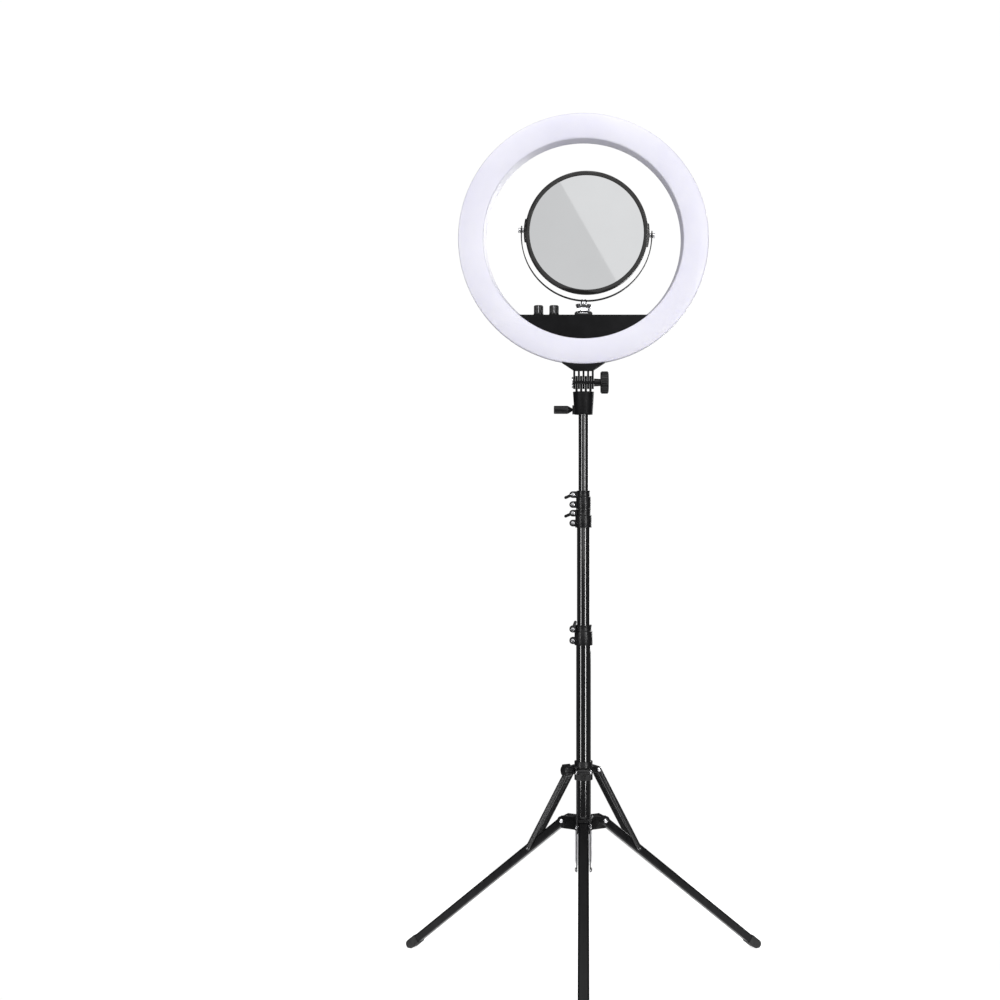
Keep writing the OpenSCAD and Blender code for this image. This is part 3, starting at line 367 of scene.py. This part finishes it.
def ribTree():
    tree, given, result = newTree("ribs round a core", [
        ("Core Radius", "Float"), ("Ribs", "Int"), ("Rib Radius", "Float"), ("Rib Length", "Float"),
        ("Rib Middle", "Vector"), ("Finish", "Material")])
    circle = tree.nodes.new("GeometryNodeMeshCircle")
    wire(tree, given.outputs["Ribs"], circle.inputs["Vertices"])
    wire(tree, given.outputs["Core Radius"], circle.inputs["Radius"])
    rib = tree.nodes.new("GeometryNodeMeshCylinder")
    rib.inputs["Vertices"].default_value = 8
    wire(tree, given.outputs["Rib Radius"], rib.inputs["Radius"])
    wire(tree, given.outputs["Rib Length"], rib.inputs["Depth"])
    place = tree.nodes.new("GeometryNodeInstanceOnPoints")
    wire(tree, circle.outputs["Mesh"], place.inputs["Points"])
    wire(tree, rib.outputs["Mesh"], place.inputs["Instance"])
    lift = tree.nodes.new("GeometryNodeTransform")
    wire(tree, place.outputs["Instances"], lift.inputs["Geometry"])
    wire(tree, given.outputs["Rib Middle"], lift.inputs["Translation"])
    join = tree.nodes.new("GeometryNodeJoinGeometry")
    wire(tree, given.outputs["Geometry"], join.inputs["Geometry"])
    wire(tree, lift.outputs["Geometry"], join.inputs["Geometry"])
    endTree(tree, given, result, join.outputs["Geometry"])
    return tree


def fixingTree():
    tree, given, result = newTree("fixings on points", [("Fixing", "Object"), ("Finish", "Material")])
    fixing = tree.nodes.new("GeometryNodeObjectInfo")
    wire(tree, given.outputs["Fixing"], fixing.inputs["Object"])
    facing = tree.nodes.new("GeometryNodeInputNamedAttribute")
    facing.data_type = "FLOAT_VECTOR"
    facing.inputs["Name"].default_value = "out"
    align = tree.nodes.new("FunctionNodeAlignRotationToVector")
    align.axis = "Z"
    wire(tree, facing.outputs["Attribute"], align.inputs["Vector"])
    place = tree.nodes.new("GeometryNodeInstanceOnPoints")
    wire(tree, given.outputs["Geometry"], place.inputs["Points"])
    wire(tree, fixing.outputs["Geometry"], place.inputs["Instance"])
    wire(tree, align.outputs["Rotation"], place.inputs["Rotation"])
    endTree(tree, given, result, place.outputs["Instances"])
    return tree


def sweepTree():
    tree, given, result = newTree("section round a ring", [
        ("Section", "Object"), ("Radius", "Float"), ("Steps", "Int"), ("Finish", "Material")])
    circle = tree.nodes.new("GeometryNodeCurvePrimitiveCircle")
    wire(tree, given.outputs["Radius"], circle.inputs["Radius"])
    wire(tree, given.outputs["Steps"], circle.inputs["Resolution"])
    section = tree.nodes.new("GeometryNodeObjectInfo")
    wire(tree, given.outputs["Section"], section.inputs["Object"])
    outline = tree.nodes.new("GeometryNodeMeshToCurve")
    wire(tree, section.outputs["Geometry"], outline.inputs["Mesh"])
    sweep = tree.nodes.new("GeometryNodeCurveToMesh")
    wire(tree, circle.outputs["Curve"], sweep.inputs["Curve"])
    wire(tree, outline.outputs["Curve"], sweep.inputs["Profile Curve"])
    endTree(tree, given, result, sweep.outputs["Mesh"])
    return tree


ribs, fixings, sweep = ribTree(), fixingTree(), sweepTree()
print("node trees ready")


# Places

ringPlace = Matrix.Translation((0, columnY, ringCentre.z)) @ Matrix.Rotation(math.radians(90), 4, "X")
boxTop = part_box("control_box")[1].z
shoeSpot = Vector((0, midOf("cold_shoe").y, boxTop))
glassMid = midOf("mirror_frame") - shoeSpot
mirrorRise = math.hypot(glassMid.x, glassMid.z)
shoePlace = Matrix.Translation(shoeSpot) @ Matrix.Rotation(math.atan2(glassMid.x, glassMid.z), 4, "Y")
mirrorPlace = shoePlace @ Matrix.Translation((0, 0, mirrorRise)) @ Matrix.Rotation(math.radians(90), 4, "X")


# Diffuser: one section swept round the ring

diffuser = {"outer": 238, "inner": 190, "innerBack": 186, "front": 17, "skirt": 24, "depth": 30,
            "wall": 2, "edge": 2.7, "edgeSteps": 6, "crown": 3.4, "steps": 192}


def crownedFront(start, end, top, steps=12):
    middle, halfWidth = (start + end) / 2, abs(end - start) / 2
    places = [start + (end - start) * step / steps for step in range(steps + 1)]
    return [(r, top - diffuser["crown"] * ((r - middle) / halfWidth) ** 2) for r in places]


def diffuserSection():
    size = diffuser
    back, wall = size["front"] - size["skirt"], size["wall"]
    innerBack = size["front"] - size["depth"]
    outside = crownedFront(size["outer"], size["inner"], size["front"])
    inside = crownedFront(size["inner"] + wall, size["outer"] - wall, size["front"] - wall)
    corners = {0: (size["outer"], back), len(outside) - 1: (size["innerBack"], innerBack)}
    section = [(size["outer"], back)]
    for index, point in enumerate(outside):
        if index not in corners:
            section.append(point)
            continue
        corner, away = Vector(point), Vector(corners[index])
        other = Vector(outside[1] if index == 0 else outside[-2])
        start = corner + ((away if index == 0 else other) - corner).normalized() * size["edge"]
        end = corner + ((other if index == 0 else away) - corner).normalized() * size["edge"]
        section += softCorner(start, corner, end, size["edgeSteps"])
    section.append((size["innerBack"], innerBack))
    return section + [(size["innerBack"] + wall, innerBack)] + inside + [(size["outer"] - wall, back)]


def makeDiffuser():
    middle = (diffuser["outer"] + diffuser["inner"]) / 2
    section = diffuserSection()
    outline = bpy.data.meshes.new("diffuser section")
    outline.from_pydata([((r - middle) * mm, -z * mm, 0) for r, z in section],
                        [(i, (i + 1) % len(section)) for i in range(len(section))], [])
    pattern = linked("diffuser section", outline)
    mesh = grown("diffuser", bpy.data.meshes.new("diffuser"), sweep, {
        "Section": pattern, "Radius": middle * mm, "Steps": diffuser["steps"], "Finish": milky})
    bpy.data.objects.remove(pattern)
    addPiece("milkyDiffuser", shaded(cleaned(mesh), 50), milky, "ring_head", ("diffuser",), ringPlace)


makeDiffuser()
print("diffuser ready")


# Turned and ribbed knobs

controlKnob = {"foot": 9.0, "top": 8.4, "height": 17.5, "ribs": 24, "ribRadius": 0.55, "skirt": 9.6,
               "skirtHeight": 2.4, "rim": 0.5, "ribMiddle": 10.15,
               "lineWidth": 0.9, "lineHeight": 13.5, "lineDepth": 0.7}
boxFaces = [(3, 2, 1, 0), (4, 5, 6, 7), (0, 1, 5, 4), (1, 2, 6, 5), (2, 3, 7, 6), (3, 0, 4, 7)]


def makeControlKnob(name, node):
    size = controlKnob
    middle = midOf(node)
    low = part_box(node)[1].z - (size["height"] + size["rim"]) * mm
    rim, top, height = size["rim"], size["top"], size["height"]
    outline = [(0, 0), (size["skirt"], 0), (size["skirt"], size["skirtHeight"]), (size["foot"] - 0.3, 3.2),
               (top, height), (top - 1.6, height + rim), (top - 2.2, height - 0.3), (0, height - 0.3)]
    core = turned(name, outline, 72, rim)
    mesh = grown(name, core, ribs, {
        "Core Radius": (size["foot"] - size["ribRadius"]) * mm, "Ribs": size["ribs"],
        "Rib Radius": size["ribRadius"] * mm, "Rib Length": (size["height"] - 5) * mm,
        "Rib Middle": (0, 0, size["ribMiddle"] * mm),
        "Finish": knobBlack})
    addPiece(name, shaded(mesh), knobBlack, nodes[node]["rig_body"], (node,),
             Matrix.Translation((middle.x, middle.y, low)))
    half = (size["lineWidth"] / 2, size["lineDepth"] / 2, size["lineHeight"] / 2)
    corners = [(x * half[0] * mm, y * half[1] * mm, z * half[2] * mm)
               for z in (-1, 1) for x, y in ((-1, -1), (1, -1), (1, 1), (-1, 1))]
    line = bpy.data.meshes.new(name + "Line")
    line.from_pydata(corners, [], boxFaces)
    front = middle.y - (size["foot"] + 0.1) * mm
    addPiece(name + "Line", line, capNatural, nodes[node]["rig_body"], (),
             Matrix.Translation((middle.x, front, low + size["ribMiddle"] * mm)))


makeControlKnob("dimmerKnob", "dimmer_knob")
makeControlKnob("colourKnob", "colour_knob")

tiltKnob = {"bore": 3.05, "radius": 20.4, "length": 15.8, "neck": 7.6, "neckLength": 12.2, "ribs": 30,
            "ribRadius": 0.95, "edge": 1.6, "dish": 1.4}


def makeTiltKnob():
    size = tiltKnob
    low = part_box("tilt_knob")[0]
    middle = midOf("tilt_knob")
    neckEnd = size["neckLength"]
    end = neckEnd + size["length"]
    edge, floor = size["edge"], end - size["dish"]
    core = turned("tiltKnob", [(size["bore"], 0), (size["neck"], 0), (size["neck"] - 0.8, neckEnd),
                               (size["radius"] - edge, neckEnd), (size["radius"], neckEnd + edge),
                               (size["radius"], end - edge), (size["radius"] - edge, end),
                               (size["radius"] - 4, end), (size["radius"] - 5, floor), (8, floor),
                               (size["bore"], floor)], 96, 0.6)
    mesh = grown("tiltKnob", core, ribs, {
        "Core Radius": size["radius"] * mm, "Ribs": size["ribs"], "Rib Radius": size["ribRadius"] * mm,
        "Rib Length": (size["length"] - 4) * mm, "Rib Middle": (0, 0, (neckEnd + size["length"] / 2) * mm),
        "Finish": knobBlack})
    addPiece("tiltKnob", shaded(mesh), knobBlack, "tilt_knob", ("tilt_knob",),
             Matrix.Translation((low.x, middle.y, middle.z)) @ Matrix.Rotation(math.radians(90), 4, "Y"))


makeTiltKnob()

lockDisc = {"bore": 3.05, "low": 7, "mid": 13, "top": 20, "grip": 10.6, "flareLow": 13.4,
            "flareTop": 16, "ribs": 28, "ribRadius": 0.7}


def makeLockDisc():
    size = lockDisc
    low, mid, top = size["low"], size["mid"], size["top"]
    outline = [(size["bore"], low), (size["grip"], low), (size["grip"], mid), (size["flareLow"], mid),
               (size["flareTop"], top - 1), (size["flareTop"] - 0.8, top), (size["bore"], top)]
    core = turned("lockDisc", outline, 96, 0.4)
    mesh = grown("lockDisc", core, ribs, {
        "Core Radius": (size["grip"] + 0.1) * mm, "Ribs": size["ribs"], "Rib Radius": size["ribRadius"] * mm,
        "Rib Length": (size["mid"] - size["low"] - 1.4) * mm,
        "Rib Middle": (0, 0, (size["mid"] + size["low"]) / 2 * mm), "Finish": shoeChrome})
    addPiece("lockDisc", shaded(mesh), shoeChrome, "lock_disc", ("lock_disc",), shoePlace)


makeLockDisc()
print("knobs ready")


# Screws and rivets on points

def pointsFacing(name, spots):
    mesh = bpy.data.meshes.new(name)
    mesh.from_pydata([tuple(spot) for spot, facing in spots], [], [])
    out = mesh.attributes.new("out", "FLOAT_VECTOR", "POINT")
    for index, (spot, facing) in enumerate(spots):
        out.data[index].vector = facing
    return mesh


def fixingsAt(name, spots, pattern, material, body, standsFor=()):
    mesh = grown(name, pointsFacing(name, spots), fixings, {"Fixing": pattern, "Finish": material})
    if "out" in mesh.attributes:
        mesh.attributes.remove(mesh.attributes["out"])
    return addPiece(name, shaded(mesh), material, body, standsFor)


screw = {"head": 2.8, "thick": 1.2, "shank": 1.5, "below": 2.4, "slot": 0.7, "reach": 1.7, "deep": 0.8}


def screwPattern():
    size = screw
    head = turned("screw", [(0, -size["below"]), (size["shank"], -size["below"]), (size["shank"], 0),
                            (size["head"], 0), (size["head"], 0.55), (1.9, size["thick"]),
                            (0, size["thick"])], 20)
    holder = linked("screw", head)
    cutMesh = bpy.data.meshes.new("recess")
    work = bmesh.new()
    for wide, long in ((size["slot"], size["reach"] * 2), (size["reach"] * 2, size["slot"])):
        block = Matrix.Translation((0, 0, (size["thick"] - size["deep"] + 1) * mm)) @ Matrix.Diagonal(
            (wide * mm, long * mm, 2 * mm, 1))
        bmesh.ops.create_cube(work, size=1, matrix=block)
    work.to_mesh(cutMesh)
    work.free()
    cutter = linked("recess", cutMesh)
    recess = holder.modifiers.new("recess", "BOOLEAN")
    recess.object = cutter
    recess.use_self = True
    mesh = baked(holder)
    bpy.data.objects.remove(cutter)
    return linked("screw", mesh)


headScrews = {"ringRadius": 205, "count": 9, "first": 110, "back": -17,
              "cover": [(-98, 6), (-52, 24), (52, 24), (98, 6)], "bracketAcross": 26}


def makeScrews():
    size = headScrews
    pattern = screwPattern()
    back = (0, 1, 0)
    spots = []
    for index in range(size["count"]):
        angle = math.radians(size["first"] + index * 360 / size["count"])
        spots.append((ringPlace @ Vector((size["ringRadius"] * mm * math.cos(angle),
                                          size["ringRadius"] * mm * math.sin(angle), size["back"] * mm)), back))
    for across, down in size["cover"]:
        spots.append(((across * mm, columnY - size["back"] * mm, boxTop - down * mm), back))
    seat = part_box("head_screws")[0].z + screw["thick"] * mm
    for side in (-1, 1):
        spots.append(((side * size["bracketAcross"] * mm, columnY, seat), (0, 0, -1)))
    fixingsAt("headScrews", spots, pattern, screwBlack, "ring_head", ("head_screws",))
    bpy.data.objects.remove(pattern)


makeScrews()

rivet = {"shank": 3, "head": 4.4, "dome": 2.3, "sides": 24, "domeSteps": 6,
         "hubHalf": 13.2, "collarHalf": 13.6, "braceHalf": 13.3,
         "hubRadius": 42, "collarRadius": 27, "braceRadius": 117.54, "braceDrop": 61.17}


def rivetPattern(half, shank):
    def dome(side):
        steps = rivet["domeSteps"]
        arc = [(rivet["head"] * math.cos(math.pi / 2 * s / steps),
                side * (half + rivet["dome"] * math.sin(math.pi / 2 * s / steps))) for s in range(steps + 1)]
        arc[-1] = (0, arc[-1][1])
        return arc
    if shank:
        outline = [(shank, half)] + dome(1) + list(reversed(dome(-1))) + [(shank, -half)]
        return turned("rivet", outline, rivet["sides"])
    caps = [turned("cap", [(0, side * half)] + dome(side), rivet["sides"]) for side in (1, -1)]
    return cleaned(joinedMeshes(caps))


def joinedMeshes(meshes):
    work = bmesh.new()
    for mesh in meshes:
        work.from_mesh(mesh)
    whole = bpy.data.meshes.new(meshes[0].name)
    work.to_mesh(whole)
    work.free()
    return whole


def makeRivets(name, half, radius, height, shank, turns, body, standsFor=()):
    pattern = linked("rivet", rivetPattern(half, shank))
    spots = []
    for turn in turns:
        angle = math.radians(turn)
        spots.append(((radius * mm * math.cos(angle), columnY + radius * mm * math.sin(angle), height),
                      (-math.sin(angle), math.cos(angle), 0)))
    fixingsAt(name, spots, pattern, rivetSteel, body, standsFor)
    bpy.data.objects.remove(pattern)


hubHeight = midOf("hub_pins").z
makeRivets("hubRivets", rivet["hubHalf"], rivet["hubRadius"], hubHeight, rivet["shank"],
           legTurns.values(), "stand_base", ("hub_pins",))
makeRivets("collarRivets", rivet["collarHalf"], rivet["collarRadius"], midOf("collar_pins").z, rivet["shank"],
           legTurns.values(), "brace_collar", ("collar_pins",))
for side, turn in legTurns.items():
    makeRivets(side + "BraceRivet", rivet["braceHalf"], rivet["braceRadius"],
               hubHeight - rivet["braceDrop"] * mm, 0, [turn], side + "_brace")
print("screws and rivets ready")


# Mirror glass with a ground edge

glass = {"radius": 109.45, "thick": 2.4, "ground": 0.9, "sides": 128, "sharp": 8, "setBack": 2}


def makeGlass(name, node, side):
    size = glass
    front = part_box(node)[0].y if side > 0 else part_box(node)[1].y
    outline = [(0, -size["thick"]), (size["radius"], -size["thick"]), (size["radius"], -size["ground"]),
               (size["radius"] - size["ground"], 0), (0, 0)]
    mesh = shaded(turned(name, outline, size["sides"]), size["sharp"])
    lift = Matrix.Translation((0, 0, side * (columnY - size["setBack"] * mm - front)))
    turnOver = Matrix.Identity(4) if side > 0 else Matrix.Rotation(math.radians(180), 4, "Y")
    addPiece(name, mesh, silvered, "mirror", (node,), mirrorPlace @ turnOver @ lift)


makeGlass("mirrorFace", "mirror_glass", 1)
makeGlass("magnifierFace", "magnifier_glass", -1)
print("mirror glass ready")


# Moulded and pressed parts with worn edges

softParts = {
    "rear_housing": (0.4, shellBlack), "control_box": (0.7, shellBlack), "box_cover": (0.4, shellBlack),
    "switch_bezel": (0.3, shellBlack), "switch_rocker": (0.4, rockerRed), "dc_inlet": (0.3, shellBlack),
    "cold_shoe": (0.4, strapBlack), "shoe_foot": (0.3, shoeChrome), "mount_bracket": (0.3, shellBlack),
    "tilt_socket": (0.3, shellBlack), "tilt_bolt": (0.4, rivetSteel), "socket_screw": (0.3, knobBlack),
    "mirror_frame": (1.2, frameBlack), "mirror_bail": (0.3, strapBlack), "pivot_screws": (0.4, shoeChrome),
    "second_clamp": (0.5, clampNylon), "third_clamp": (0.5, clampNylon), "base_clamp": (0.5, clampNylon),
    "second_lever": (0.6, clampNylon), "third_lever": (0.6, clampNylon), "base_lever": (0.6, clampNylon),
    "second_bolts": (0.3, rivetSteel), "third_bolts": (0.3, rivetSteel), "base_bolts": (0.3, rivetSteel),
    "leg_hub": (0.6, clampNylon), "brace_collar": (0.5, clampNylon), "collar_knob": (0.8, knobBlack),
    "front_brace": (0.3, strapBlack), "right_brace": (0.3, strapBlack), "left_brace": (0.3, strapBlack),
    "front_foot": (0.8, footRubber), "right_foot": (0.8, footRubber), "left_foot": (0.8, footRubber),
}
for node, (width, material) in softParts.items():
    softened(node, width, material)
print("softened parts ready:", len(softParts))


# Nodes that stay as they are, with their finishes

plainParts = {
    "heat_spreader": millAluminium, "led_board": boardWhite, "leds": phosphor, "driver_board": boardGreen,
    "potentiometers": stampedSteel, "spigot": turnedMetal, "top_tube": tubeBlack, "second_tube": tubeBlack,
    "third_tube": tubeBlack, "base_tube": tubeBlack, "tube_cap": capNatural, "second_liner": acetal,
    "third_liner": acetal, "base_liner": acetal,
}
for side, turn in legTurns.items():
    plainParts[side + "_leg"] = legEnamel(turn)
for node, material in plainParts.items():
    mesh = nodes[node].data
    mesh.materials.clear()
    mesh.materials.append(material)
print("finishes on the carried nodes ready:", len(plainParts))


# Floor, light and backdrop

studio = {"floorRadius": 0.8, "floorLow": 0.0005, "leftStrip": 27, "rightStrip": 39,
          "frontDim": 23, "frontBright": 5.3, "front": 3.4, "top": 30, "back": 40, "room": 0.08, "backdrop": 1.02}

floorMesh = bpy.data.meshes.new("studioFloor")
rim = [(studio["floorRadius"] * math.cos(math.radians(turn)),
        columnY + studio["floorRadius"] * math.sin(math.radians(turn)),
        -studio["floorLow"]) for turn in range(0, 360, 4)]
floorMesh.from_pydata(rim, [], [tuple(range(len(rim)))])
studioFloor = linked("studioFloor", floorMesh)
floorMesh.materials.append(surface("pale floor", (0.86, 0.86, 0.865), (0.90, 0.90, 0.905), (0.7, 0.8),
                                   tintScale=0.4, grainScale=40, grainDepth=0.01,
                                   Emission_Color=(1, 1, 1, 1), Emission_Strength=0.8))


def softbox(name, power, wide, high, spot, turn):
    light = bpy.data.lights.new(name, "AREA")
    light.shape = "RECTANGLE"
    light.size, light.size_y = wide, high
    light.energy = power
    lamp = linked(name, light)
    lamp.location = spot
    lamp.rotation_euler = turn


def facing(spot, aim):
    return (Vector(aim) - Vector(spot)).to_track_quat("-Z", "Y").to_euler()


stripWide, stripHigh = 0.32, 2.6
wide = studio["front"]
for name, power, across, high, spot, aimHeight in (
        ("leftStrip", studio["leftStrip"], stripWide, stripHigh, (-2.0, columnY - 2.0, 1.1), 1.0),
        ("rightStrip", studio["rightStrip"], stripWide, stripHigh, (1.55, columnY - 2.3, 1.1), 1.0),
        ("dimPanel", studio["frontDim"], wide, wide, (0, columnY - 4.7, 2.3), 2.3),
        ("backPanel", studio["back"], 1.2, 2.4, (1.4, columnY + 2.4, 1.5), 1.1),
        ("topPanel", studio["top"], 2.4, 1.6, (0, columnY - 1.3, 3.3), 1.2)):
    softbox(name, power, across, high, spot, facing(spot, (0, columnY, aimHeight)))
# The slanting edge of this one crosses the mirror
softbox("brightPanel", studio["frontBright"], wide, wide, (1.505, columnY - 4.6, 3.12),
        (math.radians(90), math.radians(-29.6), 0))

world = bpy.data.worlds.new("studio")
bpy.context.scene.world = world
world.use_nodes = True
sky = world.node_tree
room = sky.nodes["Background"]
room.inputs["Color"].default_value = (1, 1, 1, 1)
room.inputs["Strength"].default_value = studio["room"]
backdrop = sky.nodes.new("ShaderNodeBackground")
backdrop.inputs["Color"].default_value = (1, 1, 1, 1)
backdrop.inputs["Strength"].default_value = studio["backdrop"]
rays = sky.nodes.new("ShaderNodeLightPath")
pick = sky.nodes.new("ShaderNodeMixShader")
wire(sky, rays.outputs["Is Camera Ray"], pick.inputs["Fac"])
wire(sky, room.outputs["Background"], pick.inputs[1])
wire(sky, backdrop.outputs["Background"], pick.inputs[2])
wire(sky, pick.outputs["Shader"], sky.nodes["World Output"].inputs["Surface"])
bpy.context.scene.view_settings.view_transform = "Standard"
print("studio ready")
